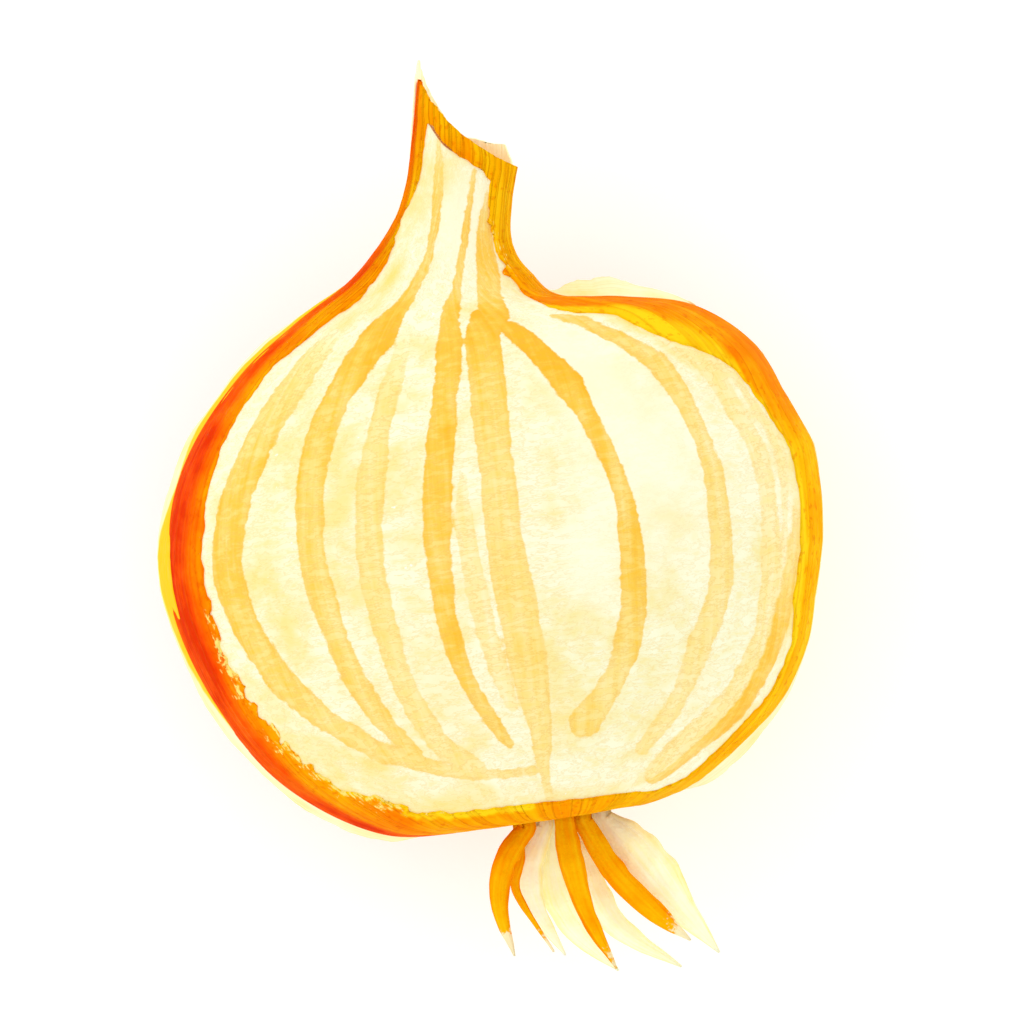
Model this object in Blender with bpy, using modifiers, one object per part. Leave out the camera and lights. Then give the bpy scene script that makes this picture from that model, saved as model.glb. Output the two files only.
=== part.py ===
"""An onion, lifted and dried, lying on its side.

The pieces are the bulb with its neck, the dry skin that wraps its back and sides and lies open
in front, the root plate, eight short roots, and two dry flakes at the neck.

Frame: metres, +Z up. +Y runs along the onion from its roots to its neck and +X across it. The
skin's small flat rests at Z = 0, and the origin is the middle of the bounding box's underside.
The onion is first laid out with the base of the bulb at Y = 0 and its axis at X = 0, Z = 0.
"""

import math

import bmesh
import bpy
import numpy as np

MM = 0.001

# The bulb, measured over its skin
BULB_WIDTH = 78.4 * MM
BULB_HEIGHT = 60.5 * MM  # base to shoulder
BULB_DEPTH = 67.0 * MM  # through the bulb, before the flat is taken off
REST_FLAT = 1.0 * MM  # depth of the flat that it lies on

# The neck, which ends in a slanted cut, highest on the left
NECK_WIDTH = 15.6 * MM
NECK_DEPTH = 13.0 * MM
NECK_LENGTH = 28.6 * MM  # shoulder to tip
NECK_RIM = 3.0 * MM  # how far the skin stands past the end of the bulb's own neck
NECK_DIP = 1.2 * MM  # how far the slanted cut is hollowed between its two ends

# The dry skin and the open window in its front
SKIN_THICKNESS = 0.4 * MM
GAP = 0.3 * MM  # between pieces that touch
MARGIN_LEFT = 4.6 * MM  # skin left showing inside the silhouette
MARGIN_RIGHT = 3.2 * MM
MARGIN_NECK_LEFT = 1.6 * MM
MARGIN_NECK_RIGHT = 2.8 * MM

# The root plate, which sits in a recess in the base
PLATE_RADIUS = 7.0 * MM
PLATE_THICKNESS = 1.4 * MM
PLATE_OFFSET = 3.3 * MM  # to the right of the axis
RECESS_DEPTH = 2.3 * MM
RECESS_LIP = 1.0 * MM  # how far the recess widens towards its mouth

# The dry flakes that cling to the back of the neck
FLAKE_THICKNESS = 0.5 * MM
TIP_FLAKE_REACH = 2.8 * MM  # past the skin
CORNER_FLAKE_REACH = 1.3 * MM
FLAKE_FOOT = 2.2  # sections from the flake's foot to the skin's end
FLAKE_POINT_SHARE = 0.12  # width of the point, in shares of the foot's

# Each section of the bulb runs from a left edge to a right edge, and has a depth. Across, in
# shares of half the bulb's width; along, of its height; depth, in shares of half its depth.
#                 left across, along   right across, along   depth
BULB_SECTIONS = (
    (-0.26, 0.000, 0.37, 0.005, 0.34),
    (-0.44, 0.016, 0.50, 0.030, 0.47),
    (-0.63, 0.086, 0.66, 0.098, 0.63),
    (-0.79, 0.190, 0.82, 0.192, 0.80),
    (-0.92, 0.344, 0.94, 0.337, 0.94),
    (-0.995, 0.545, 1.005, 0.560, 1.00),
    (-0.955, 0.700, 0.975, 0.720, 0.95),
    (-0.850, 0.832, 0.885, 0.862, 0.82),
    (-0.680, 0.952, 0.715, 0.960, 0.62),
    (-0.500, 1.033, 0.500, 0.998, 0.44),
)

# Sections of the neck: across, in shares of half the neck's width; along, in shares of the
# neck's length above the shoulder; depth, in shares of half the neck's depth.
NECK_SECTIONS = (
    (-1.60, 0.213, 1.56, 0.040, 1.70),
    (-1.05, 0.350, 1.06, 0.170, 1.24),
    (-0.72, 0.470, 0.95, 0.310, 1.05),
    (-0.50, 0.600, 1.04, 0.450, 0.98),
    (-0.31, 0.800, 1.14, 0.535, 0.88),
    (-0.13, 1.000, 1.21, 0.590, 0.72),
)

# Each root: where it leaves the plate (across, up, in shares of the plate's radius from its
# centre), then the places that it passes (across from the plate's centre, down from the base),
# its radius at the plate and half way, and how far its tip drops, in millimetres.
ROOTS = (
    ((-0.53, 0.34), ((-7.2, 4.2), (-8.7, 9.5), (-7.8, 15.4)), (1.05, 1.25), -1.0),
    ((-0.70, -0.09), ((-5.0, 4.0), (-6.0, 8.0), (-2.6, 15.7)), (0.50, 0.55), -1.5),
    ((-0.24, -0.20), ((-4.0, 5.2), (-4.2, 9.8), (-1.3, 16.4)), (1.10, 1.45), 4.5),
    ((0.10, 0.40), ((0.9, 5.5), (2.0, 11.8), (4.5, 18.6)), (1.10, 1.20), -2.5),
    ((-0.04, -0.60), ((-1.3, 6.6), (0.1, 12.6), (4.7, 19.2)), (1.10, 1.50), 7.0),
    ((0.30, -0.23), ((2.7, 7.0), (5.3, 13.8), (12.2, 19.7)), (1.10, 1.60), 5.0),
    ((0.43, 0.17), ((5.7, 7.0), (9.9, 12.7), (13.7, 16.6)), (1.15, 1.45), 0.5),
    ((0.76, -0.23), ((8.9, 5.6), (12.7, 12.0), (16.9, 18.6)), (1.15, 2.20), 2.5),
)
ROOT_TIP_RADIUS = 0.3 * MM
ROOT_LEAD = 1.0 * MM  # the straight stretch at the plate
ROOT_POINTS = 10

# How each flake sits round the neck, in degrees from the top: its foot from and to, its point
FLAKES = {
    "neck_flake_tip": (200, 243, 243, TIP_FLAKE_REACH),
    "neck_flake_corner": (127, 168, 140, CORNER_FLAKE_REACH),
}

ROWS_PER_SECTION = 2
COLUMNS = 32
FLAKE_ROWS = 8
FLAKE_COLUMNS = 5


def clear_scene():
    for thing in list(bpy.data.objects):
        bpy.data.objects.remove(thing)


def collection(name):
    made = bpy.data.collections.new(name)
    bpy.context.scene.collection.children.link(made)
    return made


def material(name, colour, roughness):
    made = bpy.data.materials.new(name)
    made.use_nodes = True
    shader = made.node_tree.nodes["Principled BSDF"]
    shader.inputs["Base Color"].default_value = (*colour, 1.0)
    shader.inputs["Roughness"].default_value = roughness
    shader.inputs["Metallic"].default_value = 0.0
    return made


def sections():
    """Every section in metres, base to neck, as rows of left x, left y, right x, right y, depth."""
    floor = PLATE_RADIUS + GAP
    mouth = floor + RECESS_LIP
    lip = RECESS_LIP / 2
    recess = [
        (PLATE_OFFSET - floor, RECESS_DEPTH, PLATE_OFFSET + floor, RECESS_DEPTH, floor),
        (PLATE_OFFSET - mouth, lip, PLATE_OFFSET + mouth, lip, mouth),
    ]
    half, height, deep = BULB_WIDTH / 2, BULB_HEIGHT, BULB_DEPTH / 2
    bulb = np.array(BULB_SECTIONS) * (half, height, half, height, deep)
    half, length, deep = NECK_WIDTH / 2, NECK_LENGTH, NECK_DEPTH / 2
    neck = np.array(NECK_SECTIONS) * (half, length, half, length, deep)
    neck[:, (1, 3)] += BULB_HEIGHT
    return np.vstack([recess, bulb, neck])


# A place along the onion is counted in sections, from 0 in the floor of the recess
SECTIONS = sections()
SKIN_START = 1
WINDOW_START = 1.6
SHOULDER = len(BULB_SECTIONS) + 1
NECK_END = len(SECTIONS) - 1


def through(points, at):
    """A smooth curve through the points, read at places counted in points from the first: on
    each span a cubic whose slope at a point is that of the chord between its neighbours."""
    first, last = 2 * points[0] - points[1], 2 * points[-1] - points[-2]
    points = np.vstack([first, points, last])
    span = np.clip(np.floor(at).astype(int), 0, len(points) - 4)
    f = (at - span)[..., None]
    a, b, c, d = (points[span + k] for k in range(4))
    straight = f * (c - a) / 2
    return b + straight + f**2 * (2 * a - 5 * b + 4 * c - d) / 2 + f**3 * (3 * b - a - 3 * c + d) / 2


def whole_surface(at, around):
    """The outside without its flat. A section is an ellipse: its middle, plus half its width
    times the sine of the angle round it, plus its depth times the cosine. Angle 0 is on top.
    Over the last two sections the front and back fall back from the sides by up to NECK_DIP."""
    row = through(SECTIONS, at)
    left, right, depth = row[..., 0:2], row[..., 2:4], row[..., 4:5]
    half = (right - left) / 2
    flat = (left + right) / 2 + half * np.sin(around)[..., None]
    back = np.stack([half[..., 1], -half[..., 0]], axis=-1)
    back /= np.linalg.norm(half, axis=-1, keepdims=True)
    dip = NECK_DIP * (np.clip(at - NECK_END + 2, 0, None) / 2) ** 2 * np.cos(around) ** 2
    flat = flat + back * dip[..., None]
    return np.concatenate([flat, depth * np.cos(around)[..., None]], axis=-1)


def outwards(at, around):
    """Unit vectors square to the outside, from its slopes along and round it."""
    step = 1e-3
    along = whole_surface(at + step, around) - whole_surface(at - step, around)
    across = whole_surface(at, around + step) - whole_surface(at, around - step)
    normal = np.cross(across, along)
    return normal / np.linalg.norm(normal, axis=-1, keepdims=True)


def surface(at, around, out=0.0):
    """The outside moved outwards by out, with its flat underneath moved down as much."""
    points = whole_surface(at, around) + out * outwards(at, around)
    lowest = REST_FLAT - BULB_DEPTH / 2 - out
    points[..., 2] = np.maximum(points[..., 2], lowest)
    return points


def grid_faces(rows, columns, closed):
    """Quads between neighbouring rows, going once round if the rows are closed."""
    row, column = np.mgrid[0 : rows - 1, 0 : columns - (0 if closed else 1)]
    beside = (column + 1) % columns
    here, ahead = row * columns, (row + 1) * columns
    corners = (here + column, here + beside, ahead + beside, ahead + column)
    return np.stack(corners, axis=-1).reshape(-1, 4).tolist()


def add_object(name, mesh, look, into):
    made = bpy.data.objects.new(name, mesh)
    mesh.materials.append(look)
    into.objects.link(made)
    return made


def loft(name, points, look, into, closed=True, capped=True):
    """An object whose surface runs through rows of points."""
    rows, columns = points.shape[:2]
    faces = grid_faces(rows, columns, closed)
    if capped:
        faces.append(list(range(columns)))
        faces.append(list(range(rows * columns - 1, (rows - 1) * columns - 1, -1)))
    mesh = bpy.data.meshes.new(name)
    mesh.from_pydata(points.reshape(-1, 3).tolist(), [], faces)
    point_faces_out(mesh, capped)
    mesh.shade_smooth()
    mesh.set_sharp_from_angle(angle=math.radians(50))
    return add_object(name, mesh, look, into)


def point_faces_out(mesh, solid):
    """Turn the faces of a solid outwards; an open sheet keeps the way its rows give it."""
    if not solid:
        return
    work = bmesh.new()
    work.from_mesh(mesh)
    bmesh.ops.recalc_face_normals(work, faces=work.faces)
    work.to_mesh(mesh)
    work.free()


def places(start, end):
    """Places along the onion from start to end, evenly spread over the sections."""
    count = int(round((end - start) * ROWS_PER_SECTION)) + 1
    return np.linspace(start, end, count)


def all_round(at):
    around = np.arange(COLUMNS) * 2 * math.pi / COLUMNS
    return np.meshgrid(at, around, indexing="ij")


def bulb_end():
    """The place where the bulb's own neck ends, NECK_RIM before the skin does on the left."""
    at = np.linspace(NECK_END - 2, NECK_END, 200)
    left = through(SECTIONS, at)[:, 0:2]
    to_go = np.linalg.norm(left - left[-1], axis=1)
    return at[np.argmax(to_go <= NECK_RIM)]


def make_bulb(into):
    """The bulb and its neck: the outside moved in by the skin and the gap under it."""
    look = material("bulb_flesh", (0.96, 0.88, 0.55), 0.45)
    at, around = all_round(places(0, bulb_end()))
    return loft("bulb", surface(at, around, -SKIN_THICKNESS - GAP), look, into)


def window_outline():
    """The skin's open window seen from above: the silhouette moved in by the margins, up the
    right side and down the left, running out past the end of the neck."""
    at = np.linspace(WINDOW_START, NECK_END, 90)
    left, right = (through(SECTIONS, at)[:, k : k + 2] for k in (0, 2))
    in_neck = np.clip((at - SHOULDER + 1) / 3, 0, 1)
    sides = []
    for edge, turn, margins in (
        (right, 1, (MARGIN_RIGHT, MARGIN_NECK_RIGHT)),
        (left, -1, (MARGIN_LEFT, MARGIN_NECK_LEFT)),
    ):
        along = np.gradient(edge, axis=0)
        along /= np.linalg.norm(along, axis=1, keepdims=True)
        inwards = turn * np.stack([-along[:, 1], along[:, 0]], axis=1)
        margin = margins[0] + (margins[1] - margins[0]) * in_neck
        sides.append(edge + inwards * margin[:, None])
    past = (left[-1] - left[-8]) * 2
    end = [sides[0][-1] + past, sides[1][-1] + past]
    return np.vstack([sides[0], end, sides[1][::-1]])


def make_window_cutter(into):
    """A block of the window's outline, from the onion's middle to above its top."""
    outline = window_outline()
    low, high = np.zeros(len(outline)), np.full(len(outline), BULB_DEPTH)
    levels = [np.column_stack([outline, level]) for level in (low, high)]
    look = material("cutter", (0.5, 0.5, 0.5), 0.5)
    cutter = loft("window_cutter", np.array(levels), look, into)
    cutter.hide_render = True
    cutter.display_type = "WIRE"
    return cutter


def make_skin(into, cutter):
    """The dry skin, open at the root plate, at the neck's end and in front."""
    look = material("dry_skin", (0.85, 0.38, 0.04), 0.6)
    at, around = all_round(places(SKIN_START, NECK_END))
    skin = loft("outer_skin", surface(at, around), look, into, capped=False)
    wall = skin.modifiers.new("thickness", "SOLIDIFY")
    wall.thickness = SKIN_THICKNESS
    wall.offset = -1
    wall.use_even_offset = True
    cut = skin.modifiers.new("window", "BOOLEAN")
    cut.operation = "DIFFERENCE"
    cut.object = cutter
    cut.solver = "EXACT"
    return skin


def make_root_plate(into):
    """A disc in the recess, a gap away from the bulb."""
    bpy.ops.mesh.primitive_cylinder_add(vertices=32, radius=PLATE_RADIUS, depth=PLATE_THICKNESS)
    plate = bpy.context.active_object
    plate.name = "root_plate"
    plate.rotation_euler = (math.radians(90), 0, 0)
    plate.location = (PLATE_OFFSET, RECESS_DEPTH - GAP - PLATE_THICKNESS / 2, 0)
    plate.data.materials.append(material("root_plate", (0.62, 0.30, 0.08), 0.8))
    for holder in list(plate.users_collection):
        holder.objects.unlink(plate)
    into.objects.link(plate)
    edge = plate.modifiers.new("edge", "BEVEL")
    edge.width = 0.35 * MM
    edge.segments = 2
    return plate


def make_root(name, start, passes, radii, drop, into):
    """A tapering tube that leaves the plate straight, a gap away from it, and then bends and
    drops along its length."""
    foot = RECESS_DEPTH - 2 * GAP - PLATE_THICKNESS
    across, height = PLATE_OFFSET + start[0] * PLATE_RADIUS, start[1] * PLATE_RADIUS
    path = [(across, foot - ROOT_LEAD)]
    path += [(PLATE_OFFSET + aside * MM, -down * MM) for aside, down in passes]
    at = np.linspace(0, len(path) - 1, ROOT_POINTS - 1)
    share = np.append(0, at / at[-1])
    flat = np.vstack([(across, foot), through(np.array(path), at)])
    up = height - drop * MM * share**1.5
    line = bpy.data.curves.new(name, "CURVE")
    line.dimensions = "3D"
    line.bevel_depth = MM
    line.bevel_resolution = 2
    line.use_fill_caps = True
    spline = line.splines.new("POLY")
    spline.points.add(ROOT_POINTS - 1)
    at_plate, halfway = radii
    widths = through(np.array([[at_plate], [halfway], [ROOT_TIP_RADIUS / MM]]), 2 * share)
    for point, (x, y), z, width in zip(spline.points, flat, up, widths[:, 0]):
        point.co = (x, y, z, 1)
        point.radius = width
    return add_object(name, line, material(name, (0.86, 0.50, 0.10), 0.8), into)


def make_flake(name, foot_from, foot_to, point_at, reach, into):
    """A dry blade on the back of the neck, narrowing from its foot to a point that stands past
    the skin by the reach."""
    last = whole_surface(np.array([NECK_END - 1, NECK_END]), np.radians([point_at, point_at]))
    end = NECK_END + reach / np.linalg.norm(last[1] - last[0])
    share = np.linspace(0, 1, FLAKE_ROWS)[:, None]
    narrowing = 1 - (1 - FLAKE_POINT_SHARE) * share**2
    foot = np.linspace(foot_from, foot_to, FLAKE_COLUMNS)
    around = np.radians(point_at + (foot - point_at) * narrowing)
    at = NECK_END - FLAKE_FOOT + (end - NECK_END + FLAKE_FOOT) * share
    points = surface(at + 0 * around, around, GAP + FLAKE_THICKNESS)
    look = material(name, (0.93, 0.80, 0.45), 0.8)
    flake = loft(name, points, look, into, closed=False, capped=False)
    wall = flake.modifiers.new("thickness", "SOLIDIFY")
    wall.thickness = FLAKE_THICKNESS
    wall.offset = -1
    return flake


def world_bounds(pieces):
    """Lowest and highest corners of the finished pieces."""
    bpy.context.view_layer.update()
    seen = bpy.context.evaluated_depsgraph_get()
    corners = []
    for piece in pieces:
        mesh = piece.evaluated_get(seen).to_mesh()
        flat = np.empty(len(mesh.vertices) * 3)
        mesh.vertices.foreach_get("co", flat)
        points = flat.reshape(-1, 3) @ np.array(piece.matrix_world.to_3x3()).T
        corners.append(points + np.array(piece.matrix_world.translation))
        piece.evaluated_get(seen).to_mesh_clear()
    points = np.vstack(corners)
    return points.min(axis=0), points.max(axis=0)


def place_on_origin(pieces, helpers):
    """Hang every piece on one empty, and move it so that the origin is at the middle of the
    underside of them all."""
    low, high = world_bounds(pieces)
    holder = bpy.data.objects.new("onion_frame", None)
    bpy.context.scene.collection.objects.link(holder)
    for piece in pieces + helpers:
        piece.parent = holder
    holder.location = (-(low[0] + high[0]) / 2, -(low[1] + high[1]) / 2, -low[2])
    bpy.context.view_layer.update()


def main():
    clear_scene()
    onion = collection("onion")
    cutters = collection("cutters")
    cutter = make_window_cutter(cutters)
    pieces = [make_bulb(onion), make_skin(onion, cutter), make_root_plate(onion)]
    for number, root in enumerate(ROOTS, start=1):
        pieces.append(make_root(f"root_{number}", *root, onion))
    for name, seat in FLAKES.items():
        pieces.append(make_flake(name, *seat, onion))
    place_on_origin(pieces, [cutter])


main()
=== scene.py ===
"""The finished look of an onion, lifted and dried, lying on its side.

The pale bulb shows through the open front of its dry orange skin, with the veins of its inner
skin. Loose papery scraps stand off the dry skin, and eight roots leave the root plate.

Frame: metres, +Z up, +Y from the roots to the neck, +X across. Every piece is worked out in the
onion's own layout, with the base of the bulb at Y = 0 and its axis at X = 0, Z = 0, and is put
where the frame has the root plate. A place on the onion is counted in sections along it, from 0 in
the floor of the recess at its base, and in radians round it, from 0 on top; its side is the sine
of that angle, from -1 on the left to 1 on the right.
"""

import itertools
import math

import bpy
import numpy as np
from mathutils import Matrix, Vector


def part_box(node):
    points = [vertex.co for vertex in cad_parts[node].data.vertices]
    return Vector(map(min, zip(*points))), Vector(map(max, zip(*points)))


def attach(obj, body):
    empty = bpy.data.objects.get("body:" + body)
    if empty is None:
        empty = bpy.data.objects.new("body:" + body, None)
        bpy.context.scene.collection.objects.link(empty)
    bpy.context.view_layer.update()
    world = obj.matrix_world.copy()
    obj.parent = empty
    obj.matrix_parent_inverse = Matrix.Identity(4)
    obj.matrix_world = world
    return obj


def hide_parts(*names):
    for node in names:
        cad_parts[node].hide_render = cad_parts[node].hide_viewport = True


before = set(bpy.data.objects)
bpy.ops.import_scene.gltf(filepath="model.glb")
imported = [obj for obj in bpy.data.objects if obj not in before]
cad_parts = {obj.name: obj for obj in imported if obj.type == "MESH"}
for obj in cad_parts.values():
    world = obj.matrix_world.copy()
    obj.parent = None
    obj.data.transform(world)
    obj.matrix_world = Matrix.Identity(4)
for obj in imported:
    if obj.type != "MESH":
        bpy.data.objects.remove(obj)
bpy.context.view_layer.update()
MM = 0.001

# The bulb, its neck, the dry skin over them and the recess in the base
BULB_WIDTH = 78.4 * MM
BULB_HEIGHT = 60.5 * MM
BULB_DEPTH = 67.0 * MM
REST_FLAT = 1.0 * MM
NECK_WIDTH = 15.6 * MM
NECK_DEPTH = 13.0 * MM
NECK_LENGTH = 28.6 * MM
NECK_DIP = 1.2 * MM
SKIN_THICKNESS = 0.4 * MM
GAP = 0.3 * MM
PLATE_RADIUS = 7.0 * MM
PLATE_THICKNESS = 1.4 * MM
PLATE_OFFSET = 3.3 * MM
RECESS_DEPTH = 2.3 * MM
RECESS_LIP = 1.0 * MM

# Sections of the bulb: left edge across and along, right edge across and along, depth. Across, in
# shares of half the bulb's width; along, of its height; depth, in shares of half its depth.
BULB_SECTIONS = (
    (-0.26, 0.000, 0.37, 0.005, 0.34),
    (-0.44, 0.016, 0.50, 0.030, 0.47),
    (-0.63, 0.086, 0.66, 0.098, 0.63),
    (-0.79, 0.190, 0.82, 0.192, 0.80),
    (-0.92, 0.344, 0.94, 0.337, 0.94),
    (-0.995, 0.545, 1.005, 0.560, 1.00),
    (-0.955, 0.700, 0.975, 0.720, 0.95),
    (-0.850, 0.832, 0.885, 0.862, 0.82),
    (-0.680, 0.952, 0.715, 0.960, 0.62),
    (-0.500, 1.033, 0.500, 0.998, 0.44),
)

# Sections of the neck: across, in shares of half its width; along, in shares of its length above
# the shoulder; depth, in shares of half its depth.
NECK_SECTIONS = (
    (-1.60, 0.213, 1.56, 0.040, 1.70),
    (-1.05, 0.350, 1.06, 0.170, 1.24),
    (-0.72, 0.470, 0.95, 0.310, 1.05),
    (-0.50, 0.600, 1.04, 0.450, 0.98),
    (-0.31, 0.800, 1.14, 0.535, 0.88),
    (-0.13, 1.000, 1.21, 0.590, 0.72),
)

# How wide the dry skin shows round its open front, seen from above: place along, width on the left
# and on the right, and how much of each is a thin yellow margin at the torn edge, in millimetres
MARGINS = (
    (2, 2.2, 1.2, 0.3, 0.2), (2.6, 3.1, 0.9, 0.4, 0.1), (3.3, 3.5, 1, 0.5, 0), (4, 3.3, 1.3, 0.3, 0),
    (5, 3.4, 1.4, 0.1, 0), (5.6, 3.7, 1.6, 0, 0.2), (6.2, 4.1, 2.4, 0, 0.5), (7, 4.6, 2.4, 0, 0.3),
    (7.8, 4.3, 2.6, 0, 0.1), (8.6, 3.6, 3.1, 0, 0.2), (9, 3.1, 3.5, 0, 0.9), (9.3, 2.7, 3.9, 0, 1.6),
    (9.6, 2.5, 4.3, 0, 1.9), (10, 2.2, 4.7, 0, 1.7), (10.5, 1.9, 4, 0, 0.8), (11.1, 2, 1.9, 0, 0.1),
    (12, 2, 1.4, 0, 0), (12.6, 1.8, 1.6, 0, 0), (13, 1.3, 1.6, 0, 0), (13.4, 0.9, 1.5, 0, 0),
    (13.9, 0.4, 1.9, 0, 0), (14.6, 0.8, 2.4, 0, 0), (15.5, 1.3, 2.5, 0, 0), (16.4, 1.5, 2.4, 0, 0),
)
# How much fuller the right flank is than an even shape: place along, millimetres
FULLNESS = (
    (2.6, 0), (3.4, 0.35), (4.2, 0.5), (5, 0.6), (5.7, 0.4), (6.1, 0.1), (6.6, 0.55), (7.2, 0.4),
    (7.6, 0.65), (8, 0.15), (8.4, -0.25), (9, 0), (12.2, 0), (12.7, 0.45), (13.1, 0.35), (13.8, 0),
)
# Where the open front ends below the rim of the neck: places along and side, left to right
RIM = ((16.42, -0.62), (16.2, -0.42), (16.05, -0.15), (15.98, 0.15), (15.93, 0.42))

# Veins of the inner skin: places along, side, half width in millimetres and strength
VEINS = (
    (
        (10.8, -0.7, 0.5, 0.1), (10.3, -0.7, 1.3, 0.35), (9, -0.755, 1.8, 0.65), (8, -0.79, 1.9, 0.75),
        (7, -0.81, 1.8, 0.75), (6.3, -0.78, 1.8, 0.72), (5.7, -0.71, 1.6, 0.65), (5.2, -0.62, 1.3, 0.6),
        (4.8, -0.52, 1.1, 0.55), (4.5, -0.41, 0.9, 0.5), (4.25, -0.28, 0.8, 0.42),
        (4.1, -0.14, 0.7, 0.42), (4.05, 0.03, 0.6, 0.4),
    ),
    (
        (16.2, -0.5, 0.35, 0.3), (15, -0.43, 0.45, 0.5), (14, -0.335, 0.5, 0.62),
        (13, -0.315, 0.55, 0.6), (12, -0.38, 0.8, 0.7), (11.2, -0.39, 1.1, 0.9), (10.6, -0.42, 1.9, 1),
        (10.1, -0.46, 1.8, 0.92), (9, -0.53, 1.6, 0.7), (8, -0.55, 1.6, 0.62), (7, -0.545, 1.6, 0.58),
        (6, -0.52, 1.5, 0.6), (5.3, -0.48, 1.2, 0.6), (4.75, -0.43, 0.8, 0.58),
    ),
    (
        (10.2, -0.29, 0.8, 0.1), (9.5, -0.305, 1.2, 0.35), (9, -0.325, 1.3, 0.45),
        (8, -0.355, 1.6, 0.44), (7, -0.37, 1.6, 0.42), (6, -0.37, 1.4, 0.4), (5.2, -0.34, 1.4, 0.42),
        (4.7, -0.3, 1.3, 0.38), (4.3, -0.21, 1, 0.35),
    ),
    (
        (15.8, 0.265, 0.35, 0.45), (15, 0.26, 0.4, 0.6), (14, 0.24, 0.45, 0.68), (13.3, 0.2, 0.5, 0.65),
        (12.6, 0.1, 0.6, 0.6), (12, 0.03, 0.8, 0.65), (11, -0.05, 1.1, 0.8), (10, -0.08, 1.5, 0.86),
        (9, -0.11, 1.6, 0.78), (8, -0.14, 1.7, 0.76), (7, -0.165, 1.6, 0.75), (6.3, -0.175, 1.2, 0.72),
        (5.6, -0.145, 1.2, 0.72), (5, -0.09, 0.9, 0.68), (4.7, -0.055, 0.6, 0.62),
    ),
    (
        (15.2, 0.56, 0.3, 0.3), (14.4, 0.58, 0.75, 0.55), (13.8, 0.58, 1.05, 0.66),
        (13.1, 0.54, 1.25, 0.7), (12.4, 0.42, 1.4, 0.64), (12, 0.34, 1.4, 0.62),
        (11.4, 0.26, 1.6, 0.75), (10.8, 0.19, 2, 0.95), (10.4, 0.11, 2.1, 0.92), (10, 0.065, 2.1, 0.84),
        (9, 0.045, 2.2, 0.66), (8, 0.042, 2.1, 0.56), (7, 0.042, 2.35, 0.5), (6.3, 0.048, 2.35, 0.46),
        (5.6, 0.058, 2, 0.46), (5, 0.068, 1.5, 0.48), (4.5, 0.075, 1.1, 0.46), (4, 0.08, 0.7, 0.4),
        (3.3, 0.088, 0.4, 0.3),
    ),
    (
        (10.5, 0.16, 0.6, 1), (10.1, 0.21, 1.1, 1), (9.5, 0.27, 1.3, 0.95), (9, 0.315, 1.5, 0.78),
        (8.5, 0.352, 1.15, 0.68), (8, 0.385, 1.05, 0.68), (7.5, 0.408, 1.1, 0.7), (7, 0.418, 1.3, 0.74),
        (6.5, 0.418, 1.5, 0.68), (6, 0.4, 1.6, 0.62), (5.6, 0.36, 1.4, 0.5), (5.2, 0.3, 1.5, 0.46),
        (4.9, 0.245, 1.8, 0.5),
    ),
    (
        (10.45, 0.44, 0.3, 0.6), (10.15, 0.5, 0.7, 0.7), (9.8, 0.55, 0.9, 0.72),
        (9.3, 0.625, 1.1, 0.64), (9, 0.655, 1.2, 0.58), (8, 0.69, 1.1, 0.5), (7, 0.695, 1.25, 0.46),
        (6.3, 0.69, 1.5, 0.42), (5.8, 0.64, 1.5, 0.38), (5.2, 0.605, 1.2, 0.36), (4.6, 0.565, 1, 0.36),
        (4.2, 0.525, 0.8, 0.36),
    ),
    (
        (9.8, 0.73, 0.9, 0.18), (9, 0.8, 1.1, 0.25), (8, 0.83, 1.1, 0.25), (7, 0.845, 1.1, 0.22),
        (6, 0.85, 1.1, 0.24), (5.3, 0.815, 1.2, 0.3), (4.7, 0.77, 1.3, 0.34), (4, 0.7, 1.5, 0.4),
        (3.5, 0.67, 1, 0.3),
    ),
    (
        (6.9, 0.925, 0.5, 0.45), (6.2, 0.905, 0.9, 0.6), (5.6, 0.885, 1.1, 0.75), (5, 0.86, 1, 0.85),
        (4.5, 0.825, 0.9, 0.8), (4, 0.78, 0.9, 0.7), (3.6, 0.73, 0.8, 0.7), (3.35, 0.69, 0.7, 0.6),
    ),
    (
        (7.9, -0.065, 0.5, 0.1), (7.3, -0.075, 1, 0.22), (6.6, -0.068, 1.3, 0.26),
        (5.9, -0.05, 1.2, 0.26), (5.3, -0.02, 0.8, 0.22),
    ),
    (
        (9.6, 0.845, 0.4, 0.12), (8.8, 0.875, 0.5, 0.22), (7.8, 0.9, 0.6, 0.22), (6.9, 0.895, 0.5, 0.2),
        (6.2, 0.88, 0.4, 0.12),
    ),
)

# Golden stains of the inner skin, and its fair patches, whose strengths are below 0: place along,
# side, reach along in sections, reach in side, strength
STAINS = (
    (9.9, 0.7, 0.4, 0.08, 0.8), (9.4, 0.77, 0.5, 0.06, 0.8), (8.9, 0.84, 0.4, 0.04, 0.6),
    (3.7, 0.72, 0.35, 0.07, 0.3), (3.35, 0.15, 0.22, 0.5, 0.22), (3.5, -0.45, 0.3, 0.25, 0.3),
    (6.4, 0.93, 0.8, 0.02, 0.8), (13.4, 0.53, 0.9, 0.1, 0.4), (12.3, -0.66, 0.6, 0.1, 0.7),
    (11, -0.7, 0.35, 0.07, 0.5), (4.3, -0.66, 0.5, 0.1, 0.22), (5.3, 0.62, 0.6, 0.12, 0.24),
    (5.6, -0.22, 0.6, 0.12, 0.22), (5, 0.12, 0.5, 0.1, 0.24), (7.6, -0.68, 0.9, 0.06, 0.16),
    (7.9, 0.5, 1.7, 0.26, -0.75), (9.4, 0.36, 0.8, 0.16, -0.6), (14.2, 0.1, 1.4, 0.6, -0.9),
    (6.6, 0.28, 0.5, 0.08, -0.4),
)

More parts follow.
